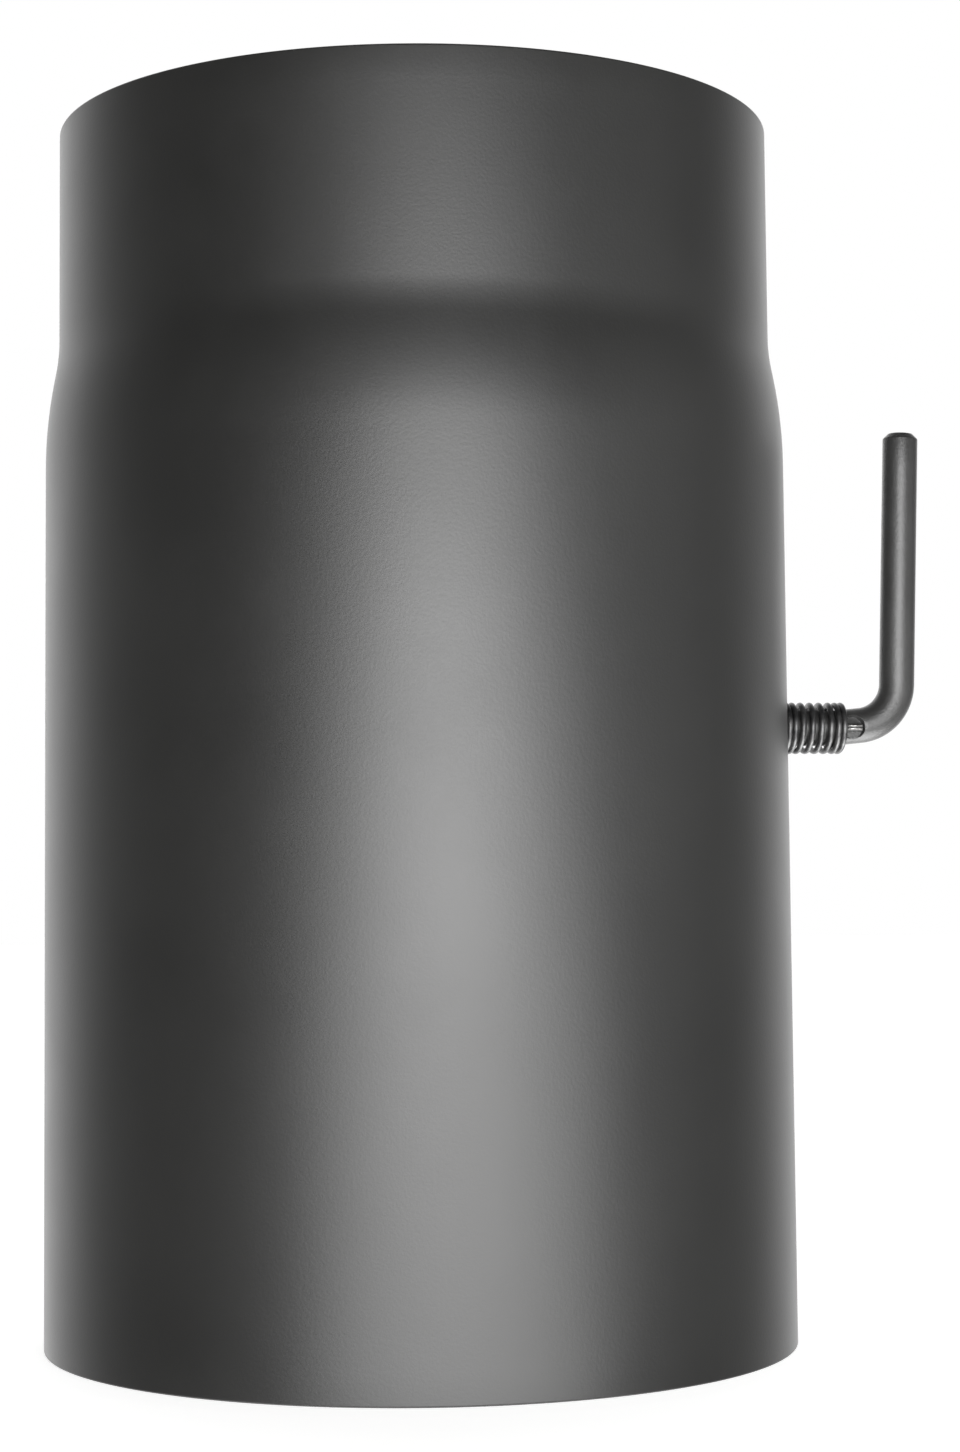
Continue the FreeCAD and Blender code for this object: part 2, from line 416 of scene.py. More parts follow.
def innerFinish(s):
    finish, tree, shader, place = startFinish("innerSteel")
    grain = useGrain(tree, place, s)
    nick = useMarks(tree, place, s)
    where = addNode(tree, "ShaderNodeSeparateXYZ")
    feed(tree, where.inputs[0], place)
    fromTop = minus(tree, cadHigh.z, where.outputs["Z"])
    nearest = reckon(tree, "MINIMUM", fromTop, where.outputs["Z"])
    uneven = plus(tree, nearest, times(tree, grain["Cloud"], s["sprayUneven"]))
    spray = spread(tree, uneven, s["sprayFull"], s["sprayDepth"], 1.0, 0.0)
    mill = tint(tree, times(tree, grain["Cloud"], grain["Grain"]), s["dark"], s["light"])
    feed(tree, shader.inputs["Base Color"], tint(tree, spray, mill, s["spray"]))
    feed(tree, shader.inputs["Metallic"], between(tree, spray, s["metalBare"], 0.0))
    rough = between(tree, grain["Cloud"], s["roughLow"], s["roughHigh"])
    feed(tree, shader.inputs["Roughness"], plus(tree, rough, times(tree, spray, s["sprayRough"])))
    bump(tree, shader, minus(tree, times(tree, grain["Grain"], s["grainHeight"]), nick), s)
    return finish


pipePaint = paintFinish(stovePaint)
pipeInside = innerFinish(innerSteel)
print("pipe finishes made")


# the pipe: a drawn section turned about the flue's axis, pierced for the bar

fluePipe = {
    "outside": 0.0770,  # radius of the body
    "wall": 0.0020,
    "neck": 0.07425,  # radius of the drawn-in neck
    "neckFoot": 0.2030,
    "shoulder": 0.1885,
    "shoulderRound": 0.0950,  # the body leans in slowly
    "neckRound": 0.0380,
    "rimRound": 0.00045,
    "roundSteps": 8,
    "holeRadius": 0.00385,
    "holeSides": 64,
    "holeReach": 0.4,  # the drill's length, more than the pipe is wide
    "segments": 288,
    "rowStep": 0.0060,
    "insideLimit": -0.02,  # outward measure below which a face is bare
}


def pipeSection(s, height):
    # outer side up, over the top rim, inner side down, under the lower rim
    taper = math.atan2(s["outside"] - s["neck"], s["neckFoot"] - s["shoulder"])
    drop = s["wall"] * math.tan(taper / 2)
    bore = s["outside"] - s["wall"]
    throat = s["neck"] - s["wall"]
    corners = [
        (Vector((s["outside"], 0)), s["rimRound"]),
        (Vector((s["outside"], s["shoulder"])), s["shoulderRound"]),
        (Vector((s["neck"], s["neckFoot"])), s["neckRound"]),
        (Vector((s["neck"], height)), s["rimRound"]),
        (Vector((throat, height)), s["rimRound"]),
        (Vector((throat, s["neckFoot"] - drop)), s["neckRound"] + s["wall"]),
        (Vector((bore, s["shoulder"] - drop)), s["shoulderRound"] - s["wall"]),
        (Vector((bore, 0)), s["rimRound"]),
    ]
    path = []
    for i, (corner, radius) in enumerate(corners):
        before = corners[i - 1][0]
        after = corners[(i + 1) % len(corners)][0]
        path += roundCorner(before, corner, after, radius, s["roundSteps"])
    # long straight runs are divided so that the holes cut clean small faces
    section = []
    for here, there in zip(path, path[1:] + path[:1]):
        parts = max(1, round((there - here).length / s["rowStep"]))
        section += [here.lerp(there, i / parts) for i in range(parts)]
    return section


def pipeTree():
    tree, given, result = startTree("turnedPipe", {
        "Turn Radius": "Float", "Segments": "Int", "Hole Radius": "Float", "Hole Sides": "Int",
        "Hole Height": "Float", "Hole Reach": "Float", "Inside Limit": "Float",
        "Outside Finish": "Material", "Inside Finish": "Material",
    })
    section = addNode(tree, "GeometryNodeMeshToCurve")
    feed(tree, section.inputs["Mesh"], given["Geometry"])
    circle = addNode(tree, "GeometryNodeCurvePrimitiveCircle", mode="RADIUS")
    feed(tree, circle.inputs["Resolution"], given["Segments"])
    feed(tree, circle.inputs["Radius"], given["Turn Radius"])
    level = addNode(tree, "GeometryNodeSetCurveNormal", mode="Z_UP")
    feed(tree, level.inputs["Curve"], circle.outputs["Curve"])
    tube = addNode(tree, "GeometryNodeCurveToMesh")
    feed(tree, tube.inputs["Curve"], level.outputs[0])
    feed(tree, tube.inputs["Profile Curve"], section.outputs[0])
    drill = addNode(tree, "GeometryNodeMeshCylinder")
    feed(tree, drill.inputs["Vertices"], given["Hole Sides"])
    feed(tree, drill.inputs["Radius"], given["Hole Radius"])
    feed(tree, drill.inputs["Depth"], given["Hole Reach"])
    height = addNode(tree, "ShaderNodeCombineXYZ")
    feed(tree, height.inputs["Z"], given["Hole Height"])
    aim = addNode(tree, "GeometryNodeTransform")
    feed(tree, aim.inputs["Geometry"], drill.outputs["Mesh"])
    feed(tree, aim.inputs["Translation"], height.outputs[0])
    aim.inputs["Rotation"].default_value = (0.0, math.pi / 2, 0.0)
    pierced = addNode(tree, "GeometryNodeMeshBoolean", operation="DIFFERENCE", solver="EXACT")
    feed(tree, pierced.inputs["Mesh 1"], tube.outputs[0])
    feed(tree, pierced.inputs["Mesh 2"], aim.outputs[0])
    coat = endTree(tree, pierced.outputs["Mesh"], result, given["Outside Finish"])
    # faces that look towards the axis are the bare inside
    flat = addNode(tree, "ShaderNodeVectorMath", operation="MULTIPLY")
    feed(tree, flat.inputs[0], addNode(tree, "GeometryNodeInputPosition").outputs[0])
    flat.inputs[1].default_value = (1.0, 1.0, 0.0)
    outward = addNode(tree, "ShaderNodeVectorMath", operation="DOT_PRODUCT")
    feed(tree, outward.inputs[0], flat.outputs[0])
    feed(tree, outward.inputs[1], addNode(tree, "GeometryNodeInputNormal").outputs[0])
    bare = reckon(tree, "LESS_THAN", outward.outputs["Value"], given["Inside Limit"])
    inner = addNode(tree, "GeometryNodeSetMaterial")
    feed(tree, inner.inputs["Geometry"], coat.outputs[0])
    feed(tree, inner.inputs["Selection"], bare)
    feed(tree, inner.inputs["Material"], given["Inside Finish"])
    feed(tree, result, inner.outputs[0])
    return tree


def makePipe(s):
    section = pipeSection(s, cadHigh.z)
    start = bpy.data.meshes.new("pipeSection")
    # a level circle carries a section upside down
    points = [(p.x - s["outside"], -p.y, 0.0) for p in section]
    count = len(points)
    start.from_pydata(points, [(i, (i + 1) % count) for i in range(count)], [])
    piece = growPiece("flue_pipe_skin", pipeTree(), {
        "Turn Radius": s["outside"], "Segments": s["segments"],
        "Hole Radius": s["holeRadius"], "Hole Sides": s["holeSides"],
        "Hole Height": axle.z, "Hole Reach": s["holeReach"], "Inside Limit": s["insideLimit"],
        "Outside Finish": pipePaint, "Inside Finish": pipeInside,
    }, start)
    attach(piece, "pipe")
    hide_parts("flue_pipe")
    return piece


pipe = makePipe(fluePipe)
print("pipe made:", len(pipe.data.polygons), "faces")


barPaint = {
    "dark": (0.0222, 0.0221, 0.0217),
    "light": (0.0335, 0.0333, 0.0327),
    # light bare-metal colour: rubbed paint in the wall, and a painted highlight along the ears' crest edges
    "rubbedAndHighlight": (0.42, 0.413, 0.40),
    "rubFrom": 0.15,  # the lighter the shade, the more of the rubbed colour and painted highlight shows
    "rubTo": 0.75,
    "rubLeast": 0.35,
    "rubMetal": 0.8,
    "rubSmooth": 0.15,
    "roughLow": 0.38,
    "roughHigh": 0.44,
    "gloss": 1.0,  # specular level
    "grainScale": 1500.0,
    "cloudScale": 95.0,
    "grainShare": 0.4,
    "markCells": 260.0,
    "markShare": 0.10,
    "markSize": 0.16,
    "grainHeight": 0.26,
    "markHeight": 0.5,
    "bumpStrength": 0.35,
    "bumpDepth": 0.0002,
}


def barFinish(s):
    finish, tree, shader, place = startFinish("barPaint")
    grain = useGrain(tree, place, s)
    nick = useMarks(tree, place, s)
    shade = mottle(tree, grain, s["grainShare"])
    # paint is rubbed thin where the bar runs in the wall; on the ears' crest edges the same light bare
    # colour is a painted highlight
    rubAndHighlight = addNode(tree, "ShaderNodeAttribute", attribute_name="rubbedAndHighlight").outputs["Fac"]
    hold = spread(tree, shade, s["rubFrom"], s["rubTo"], s["rubLeast"], 1.0, "LINEAR")
    wornAndHighlight = times(tree, rubAndHighlight, hold)
    coat = tint(tree, shade, s["dark"], s["light"])
    feed(tree, shader.inputs["Base Color"], tint(tree, wornAndHighlight, coat, s["rubbedAndHighlight"]))
    feed(tree, shader.inputs["Metallic"], times(tree, wornAndHighlight, s["rubMetal"]))
    rough = between(tree, shade, s["roughLow"], s["roughHigh"])
    feed(tree, shader.inputs["Roughness"], minus(tree, rough, times(tree, wornAndHighlight, s["rubSmooth"])))
    shader.inputs["Specular IOR Level"].default_value = s["gloss"]
    raised = times(tree, grain["Grain"], s["grainHeight"])
    bump(tree, shader, minus(tree, raised, times(tree, nick, s["markHeight"])), s)
    return finish


# the bar: one round rod, pinched flat beside the spring and bent up into the handle

handleBar = {
    "radius": 0.00375,
    "farEnd": -0.0767,
    "farBreak": 0.0006,
    "farSteps": ((0.0, 1.0), (0.15, 0.72), (0.72, 0.15), (1.0, 0.0)),  # shares of the break, along and in
    "farRows": 16,
    "earMiddle": 0.093375,
    "earReach": 0.00495,
    "earHalf": 0.0022,  # half the fin's length along the bar
    "earCrest": 0.0008,  # fin thickness at its crest
    "earRoot": 0.0017,
    "pinchRadius": 0.00245,
    "pinchFloor": 0.00240,
    "pinchKeep": 0.6,  # share of the floor's depth within which nothing is pressed
    "pinchSoft": 0.00018,  # how softly the pressed edge rolls over
    "upperLean": -0.36,  # the pocket above the fin looks up, the one below a little up too
    "lowerLean": 0.14,
    "crestGroove": 0.00012,
    "grooveShare": 0.6,  # of the crest's thickness
    "crestRubAndHighlight": (0.0001, 0.0003),  # a painted highlight, drawn as rubbed bare metal, lies this near to the crest's two edges
    "crestRise": (0.9, 1.2),  # and only this far out, in radii of the bar
    "wallRub": 0.7,
    "wallRubReach": (0.0008, 0.0022),
    "endRub": 0.4,
    "riseLead": 0.0039,  # the bar starts to rise this far before the ears
    "riseAngle": 5.5,
    "riseRun": 0.0064,
    "riseEase": 0.0004,  # the change of direction is spread over this on each side
    "bendRadius": 0.00925,
    "bendAngle": 88.0,
    "bendRows": 36,
    "leverRows": 8,
    "tipHeight": 0.1898,
    "tipBreak": 0.00115,
    "tipStart": 1.12,  # breaks back from the tip, where the straight run ends
    # shares of the break, back from the tip and in from the side
    "tipSteps": ((1.0, 0.03), (0.88, 0.13), (0.13, 0.88), (0.04, 0.97), (0.0, 1.10)),
    "fineStep": 0.00010,
    "fineHalf": 0.75,  # radians to each side of the front and the back
    "fineCount": 54,
    "coarseCount": 16,
}


def barAngles(s):
    # fine steps at the front and back, where the ears are, coarse above and below
    half = s["fineHalf"]
    fine = [-half + 2 * half * i / s["fineCount"] for i in range(s["fineCount"])]
    coarse = [half + (math.pi - 2 * half) * i / s["coarseCount"] for i in range(s["coarseCount"])]
    front = fine + coarse
    return front + [a + math.pi for a in front]


def barStations(s):
    # centre, direction and radius along the rod from the far end to the tip
    stations = []
    size = s["radius"]

    def straight(x, radius):
        stations.append((Vector((x, 0, axle.z)), Vector((1, 0, 0)), radius))

    edge = s["farBreak"]
    for share, less in s["farSteps"]:
        straight(s["farEnd"] + edge * share, size - edge * less)
    ease = s["riseEase"]
    riseFrom = s["earMiddle"] - s["riseLead"]
    begin = s["farEnd"] + edge
    for i in range(1, s["farRows"] + 1):
        straight(begin + (riseFrom - ease - begin) * i / s["farRows"], size)
    rise = math.radians(s["riseAngle"])
    turn = math.radians(s["bendAngle"])
    along = Vector((math.cos(rise), 0, math.sin(rise)))
    start = Vector((riseFrom, 0, axle.z))
    stations.append((start, Vector((math.cos(rise / 2), 0, math.sin(rise / 2))), size))
    rows = round((s["riseRun"] - ease) / s["fineStep"])
    for i in range(rows + 1):
        stations.append((start + along * (ease + (s["riseRun"] - ease) * i / rows), along, size))
    middle = stations[-1][0] + Vector((-along.z, 0, along.x)) * s["bendRadius"]
    for i in range(1, s["bendRows"] + 1):
        angle = rise + (turn - rise) * i / s["bendRows"]
        along = Vector((math.cos(angle), 0, math.sin(angle)))
        stations.append((middle + Vector((along.z, 0, -along.x)) * s["bendRadius"], along, size))
    foot = stations[-1][0]
    length = (s["tipHeight"] - foot.z) / along.z
    edge = s["tipBreak"]
    for i in range(1, s["leverRows"] + 1):
        stations.append((foot + along * ((length - edge * s["tipStart"]) * i / s["leverRows"]), along, size))
    for back, less in s["tipSteps"]:
        stations.append((foot + along * (length - edge * back), along, size - edge * less))
    return stations


def pinched(s, point):
    # pressed pocket on each side with a thin fin left standing across it
    side = point.y
    dx = point.x - s["earMiddle"]
    dz = point.z - axle.z
    off = abs(dz)
    flat = math.hypot(dx, dz)
    inside = 1 - smoothStep(s["pinchRadius"] - s["pinchSoft"], s["pinchRadius"] + s["pinchSoft"], flat)
    if inside == 0 or abs(side) < s["pinchFloor"] * s["pinchKeep"]:
        return point, 0.0
    half = s["earHalf"]
    crest = 0.0
    if abs(dx) <= half:
        crest = s["earReach"] - half + math.sqrt(half ** 2 - dx ** 2)
    halfCrest = s["earCrest"] / 2
    slope = (s["earReach"] - s["pinchFloor"]) / (s["earRoot"] / 2 - halfCrest)
    flank = s["earReach"] - max(0.0, off - halfCrest) * slope
    groove = s["crestGroove"] * (1 - smoothStep(0.0, s["grooveShare"], off / halfCrest))
    fin = min(crest - groove, flank)
    lean = s["upperLean"] if dz > 0 else s["lowerLean"]
    floor = s["pinchFloor"] + lean * (off - s["pinchRadius"] / 2)
    deep = abs(side) + (max(floor, fin) - abs(side)) * inside
    # the crest's two edges are lightened: a painted highlight, drawn as rubbed bare metal
    edge = 1 - smoothStep(*s["crestRubAndHighlight"], abs(off - halfCrest))
    low, high = s["crestRise"]
    wornAndHighlight = inside * edge * smoothStep(s["radius"] * low, s["radius"] * high, deep)
    return Vector((point.x, math.copysign(deep, side), point.z)), wornAndHighlight


def makeBar(s):
    angles = barAngles(s)
    around = len(angles)
    stations = barStations(s)
    middleOfWall = fluePipe["outside"] - fluePipe["wall"] / 2
    points = []
    rubbedAndHighlight = []
    for centre, along, radius in stations:
        up = Vector((-along.z, 0, along.x))
        for angle in angles:
            out = Vector((0, -math.cos(angle), 0)) + up * math.sin(angle)
            point, wornAndHighlight = pinched(s, centre + out * radius)
            points.append(point)
            inWall = 1 - smoothStep(*s["wallRubReach"], abs(abs(point.x) - middleOfWall))
            rubbedAndHighlight.append(max(wornAndHighlight, s["wallRub"] * inWall))
    faces = ringFaces(len(stations), around)
    # a point in the middle closes each end
    first = len(points)
    points += [stations[0][0], stations[-1][0]]
    rubbedAndHighlight += [s["endRub"], 0.0]
    top = (len(stations) - 1) * around
    for i in range(around):
        j = (i + 1) % around
        faces.append((first, j, i))
        faces.append((first + 1, top + i, top + j))
    piece = meshPiece("handle_spindle_skin", points, faces, barFinish(barPaint))
    # one point attribute carries the rubbed paint and the painted highlight on the crest edges
    wearAndHighlight = piece.data.attributes.new("rubbedAndHighlight", "FLOAT", "POINT")
    wearAndHighlight.data.foreach_set("value", rubbedAndHighlight)
    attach(piece, "damper")
    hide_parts("handle_spindle")
    return piece


bar = makeBar(handleBar)
print("bar made:", len(bar.data.polygons), "faces")


springSteel = {
    "dark": (0.075, 0.075, 0.077),
    "light": (0.200, 0.199, 0.198),
    "roughLow": 0.36,
    "roughHigh": 0.48,
    "metalBare": 0.9,
    "metalScale": 0.4,  # where a mark is left of the mill scale
    "grainScale": 2600.0,
    "cloudScale": 420.0,
    "grainLeast": 0.6,  # share of the clouds' shade left where the grain is dark
    "markCells": 900.0,
    "markShare": 0.2,
    "markSize": 0.3,
    "grainHeight": 0.3,
    "bumpStrength": 0.15,
    "bumpDepth": 0.00008,
}


def springFinish(s):
    finish, tree, shader, place = startFinish("springSteel")
    grain = useGrain(tree, place, s)
    scale = useMarks(tree, place, s)
    shade = times(tree, grain["Cloud"], between(tree, grain["Grain"], s["grainLeast"], 1.0))
    feed(tree, shader.inputs["Base Color"], tint(tree, shade, s["dark"], s["light"]))
    feed(tree, shader.inputs["Metallic"], between(tree, scale, s["metalBare"], s["metalScale"]))
    feed(tree, shader.inputs["Roughness"], between(tree, shade, s["roughLow"], s["roughHigh"]))
    bump(tree, shader, minus(tree, times(tree, grain["Grain"], s["grainHeight"]), scale), s)
    return finish


# the spring: closed turns at the wall and against the ears, open ones between

frictionSpring = {
    "wireRadius": 0.000625,
    "coilRadius": 0.0049,
    "closedPitch": 0.00127,
    "openPitch": 0.00203,
    "firstFront": 0.12,  # turns from the wire's start to the bar's front
    "allTurns": 8.42,
    "openFrom": 2.12,
    "openTo": 6.20,
    "easing": 0.84,  # turns over which the pitch changes
    "seat": 0.077675,
    "pointsPerTurn": 60,
    "wireSides": 20,
}


def springTree():
    tree, given, result = startTree("coiledWire", {
        "Points": "Int", "Points Per Turn": "Float", "Coil Radius": "Float",
        "Closed Pitch": "Float", "Open Pitch": "Float", "First Front": "Float",
        "Open From": "Float", "Open To": "Float", "Easing": "Float",
        "Wire Radius": "Float", "Wire Sides": "Int", "Seat": "Float",
        "Axle Height": "Float", "Finish": "Material",
    })
    line = addNode(tree, "GeometryNodeCurvePrimitiveLine")
    steps = addNode(tree, "GeometryNodeResampleCurve", mode="COUNT")
    feed(tree, steps.inputs["Curve"], line.outputs[0])
    feed(tree, steps.inputs["Count"], given["Points"])
    index = addNode(tree, "GeometryNodeInputIndex").outputs[0]
    turns = reckon(tree, "DIVIDE", index, given["Points Per Turn"])

    def opened(since):
        # turns gone by at the open pitch, eased in
        past = reckon(tree, "MAXIMUM", minus(tree, turns, since), 0.0)
        eased = reckon(tree, "MINIMUM", past, given["Easing"])
        slow = reckon(tree, "DIVIDE", times(tree, eased, eased), given["Easing"])
        return plus(tree, times(tree, slow, 0.5), minus(tree, past, eased))

    wide = minus(tree, opened(given["Open From"]), opened(given["Open To"]))
    more = times(tree, wide, minus(tree, given["Open Pitch"], given["Closed Pitch"]))
    closed = times(tree, turns, given["Closed Pitch"])
    reach = plus(tree, given["Seat"], plus(tree, closed, more))
    angle = times(tree, minus(tree, turns, given["First Front"]), 2 * math.pi)
    ahead = times(tree, given["Coil Radius"], reckon(tree, "COSINE", angle))
    lift = times(tree, given["Coil Radius"], reckon(tree, "SINE", angle))
    place = addNode(tree, "ShaderNodeCombineXYZ")
    feed(tree, place.inputs["X"], reach)
    feed(tree, place.inputs["Y"], times(tree, ahead, -1.0))
    feed(tree, place.inputs["Z"], plus(tree, given["Axle Height"], lift))
    coil = addNode(tree, "GeometryNodeSetPosition")
    feed(tree, coil.inputs["Geometry"], steps.outputs[0])
    feed(tree, coil.inputs["Position"], place.outputs[0])
    section = addNode(tree, "GeometryNodeCurvePrimitiveCircle", mode="RADIUS")
    feed(tree, section.inputs["Resolution"], given["Wire Sides"])
    feed(tree, section.inputs["Radius"], given["Wire Radius"])
    wire = addNode(tree, "GeometryNodeCurveToMesh")
    feed(tree, wire.inputs["Curve"], coil.outputs[0])
    feed(tree, wire.inputs["Profile Curve"], section.outputs[0])
    wire.inputs["Fill Caps"].default_value = True
    endTree(tree, wire.outputs[0], result, given["Finish"])
    return tree


def makeSpring(s):
    points = round(s["allTurns"] * s["pointsPerTurn"]) + 1
    piece = growPiece("friction_spring_skin", springTree(), {
        "Points": points, "Points Per Turn": float(s["pointsPerTurn"]), "Coil Radius": s["coilRadius"],
        "Closed Pitch": s["closedPitch"], "Open Pitch": s["openPitch"], "First Front": s["firstFront"],
        "Open From": s["openFrom"], "Open To": s["openTo"], "Easing": s["easing"],
        "Wire Radius": s["wireRadius"], "Wire Sides": s["wireSides"], "Seat": s["seat"],
        "Axle Height": axle.z, "Finish": springFinish(springSteel),
    }, bpy.data.meshes.new("springStart"))
    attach(piece, "damper")
    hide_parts("friction_spring")
    return piece


spring = makeSpring(frictionSpring)
print("spring made:", len(spring.data.polygons), "faces")


plateSteel = {
    "dark": (0.040, 0.040, 0.042),
    "light": (0.120, 0.117, 0.112),
    "bare": (0.19, 0.185, 0.175),
    "roughLow": 0.40,
    "roughHigh": 0.58,
    "metalScale": 0.6,
    "metalBare": 1.0,
    "grainScale": 700.0,
    "cloudScale": 38.0,
    "grainShare": 0.3,
    "markCells": 380.0,
    "markShare": 0.09,
    "markSize": 0.24,
    "grainHeight": 0.35,
    "bumpStrength": 0.4,
    "bumpDepth": 0.00018,
}


def plateFinish(s):
    # hot-rolled sheet: blue-grey mill scale, flaked lighter in places
    finish, tree, shader, place = startFinish("plateSteel")
    grain = useGrain(tree, place, s)
    flake = useMarks(tree, place, s)
    shade = mottle(tree, grain, s["grainShare"])
    lost = times(tree, flake, grain["Cloud"])
    scaled = tint(tree, shade, s["dark"], s["light"])
    feed(tree, shader.inputs["Base Color"], tint(tree, lost, scaled, s["bare"]))
    feed(tree, shader.inputs["Metallic"], between(tree, lost, s["metalScale"], s["metalBare"]))
    feed(tree, shader.inputs["Roughness"], between(tree, shade, s["roughLow"], s["roughHigh"]))
    bump(tree, shader, minus(tree, times(tree, grain["Grain"], s["grainHeight"]), lost), s)
    return finish


# the plate: a round sheet pressed into a half-round saddle over the bar, cut straight on one side

damperPlate = {
    "radius": 0.0735,
    "centre": 0.0012,
    "sheet": 0.0020,
    "saddleMiddle": 0.00480,  # middle of the sheet over the bar
    "footRadius": 0.0020,
    "cutAbove": 0.0475,  # straight edge above the axle
    "lowestAngle": 1.5,  # degrees off the lowest point, where the rows begin
    "lowerRows": 34,
    "footRows": 8,
    "saddleRows": 24,
    "upperRows": 14,
    "columns": 28,
    "leastSquare": 1e-10,  # keeps a row's half width real
    "edgeBreak": 0.00025,
    "breakSteps": 2,
    "breakAngle": 50.0,  # degrees, softer edges are left alone
}


def plateRows(s):
    # points down the middle of the sheet's section as (z, y), each with the way its face looks
    foot = s["footRadius"]
    ring = s["saddleMiddle"]
    footZ = math.sqrt((ring + foot) ** 2 - foot ** 2)
    lean = math.atan2(footZ, foot)
    lowest = math.radians(s["lowestAngle"])
    highest = math.acos(footZ / s["radius"])
    rows = []
    for i in range(s["lowerRows"]):
        angle = lowest + (highest - lowest) * i / s["lowerRows"]
        rows.append((-s["radius"] * math.cos(angle), 0.0, 0.0, 1.0))
    # each foot swings up from the flat until it meets the half round
    swing = []
    for i in range(s["footRows"] + 1):
        angle = lean * i / s["footRows"]
        swing.append((math.sin(angle), math.cos(angle)))
    for aside, up in swing:
        rows.append((-footZ + foot * aside, foot - foot * up, -aside, up))
    for i in range(1, s["saddleRows"]):
        angle = -lean + 2 * lean * i / s["saddleRows"]
        rows.append((ring * math.sin(angle), ring * math.cos(angle), math.sin(angle), math.cos(angle)))
    for aside, up in reversed(swing):
        rows.append((footZ - foot * aside, foot - foot * up, aside, up))
    for i in range(1, s["upperRows"] + 1):
        rows.append((footZ + (s["cutAbove"] - footZ) * i / s["upperRows"], 0.0, 0.0, 1.0))
    return rows


def makePlate(s):
    rows = plateRows(s)
    half = s["sheet"] / 2
    columns = s["columns"]
    loop = 2 * (columns + 1)
    points = []
    for z, y, nz, ny in rows:
        for side in (1, -1):
            pz = z + side * half * nz
            py = y + side * half * ny
            wide = math.sqrt(max(s["leastSquare"], s["radius"] ** 2 - pz ** 2))
            for i in range(columns + 1):
                share = -1 + 2 * i / columns
                points.append(Vector((s["centre"] + side * share * wide, py, axle.z + pz)))
    faces = ringFaces(len(rows), loop)
    last = (len(rows) - 1) * loop
    for i in range(columns):
        faces.append((i, i + 1, loop - 2 - i, loop - 1 - i))
        faces.append((last + i, last + loop - 1 - i, last + loop - 2 - i, last + i + 1))
    piece = meshPiece("damper_plate_skin", points, faces, plateFinish(plateSteel))
    ease = piece.modifiers.new("edgeBreak", "BEVEL")
    ease.width = s["edgeBreak"]
    ease.segments = s["breakSteps"]
    ease.limit_method = "ANGLE"
    ease.angle_limit = math.radians(s["breakAngle"])
    settle(piece).name = "damper_plate_skin"
    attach(piece, "damper")
    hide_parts("damper_plate")
    return piece


plate = makePlate(damperPlate)
print("plate made:", len(plate.data.polygons), "faces")


rivetSteel = {
    "dark": (0.10, 0.10, 0.10),
    "light": (0.30, 0.295, 0.285),
    "roughLow": 0.30,
    "roughHigh": 0.48,
    "metalBare": 0.95,
    "metalDent": 0.8,
    "grainScale": 1300.0,
    "cloudScale": 260.0,
    "markCells": 520.0,
    "markShare": 0.45,
    "markSize": 0.5,
    "grainHeight": 0.2,
    "bumpStrength": 0.5,
    "bumpDepth": 0.00012,
}


def rivetFinish(s):
    finish, tree, shader, place = startFinish("rivetSteel")
    grain = useGrain(tree, place, s)
    dent = useMarks(tree, place, s)
    feed(tree, shader.inputs["Base Color"], tint(tree, grain["Cloud"], s["dark"], s["light"]))
    feed(tree, shader.inputs["Metallic"], between(tree, dent, s["metalBare"], s["metalDent"]))
    feed(tree, shader.inputs["Roughness"], between(tree, grain["Cloud"], s["roughLow"], s["roughHigh"]))
    bump(tree, shader, minus(tree, times(tree, grain["Grain"], s["grainHeight"]), dent), s)
    return finish


# the rivets: two of the same, a low dome on the saddle and another behind the bar

plateRivets = {
    "halfSpacing": 0.042,
    "headRadius": 0.0035,
    "headSegments": 40,
    "headRings": 24,
    "shankRadius": 0.0020,
    "shankSides": 32,
    "top": 0.0075,
    "bottom": -0.00545,
    "domeHeight": 0.0023,
}


